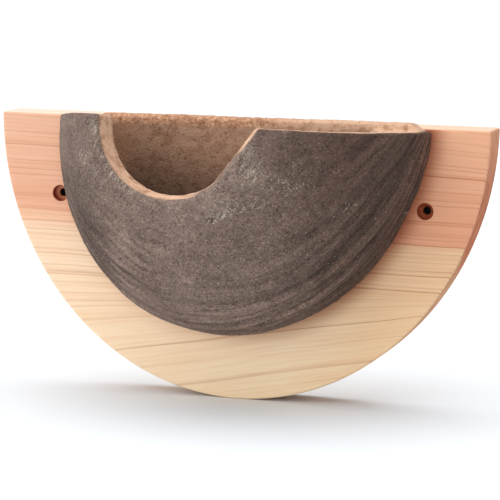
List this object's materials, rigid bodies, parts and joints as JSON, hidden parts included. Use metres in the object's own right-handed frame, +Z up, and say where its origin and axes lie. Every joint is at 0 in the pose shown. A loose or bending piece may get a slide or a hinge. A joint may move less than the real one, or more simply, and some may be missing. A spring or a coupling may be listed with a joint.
{
  "type": "house martin nest cup",
  "caption": "Wall-mounted half-round nest cup of rough mineral material with a scooped entrance, on a half-oval softwood board with screw holes at both sides.",
  "frame": {"origin": "midway between the two wall-screw holes, on the board's back face, which lies on the wall", "axes": "+X to the right seen from the front, +Y into the wall, +Z up; the cup faces -Y"},
  "size_m": [0.24, 0.1024, 0.1398],
  "materials": {
    "board_wood": "planed, unvarnished softwood with salmon heartwood and pale sapwood",
    "cup_mineral": "rough, matt, hand-formed, scraped outside and crumbly tan on the cut faces",
    "screw_steel": "plain zinc-plated wood screw"
  },
  "bodies": {
    "root": {"backboard": "board_wood", "nest_cup": "cup_mineral", "cup_screws": "screw_steel"}
  },
  "joints": []
}
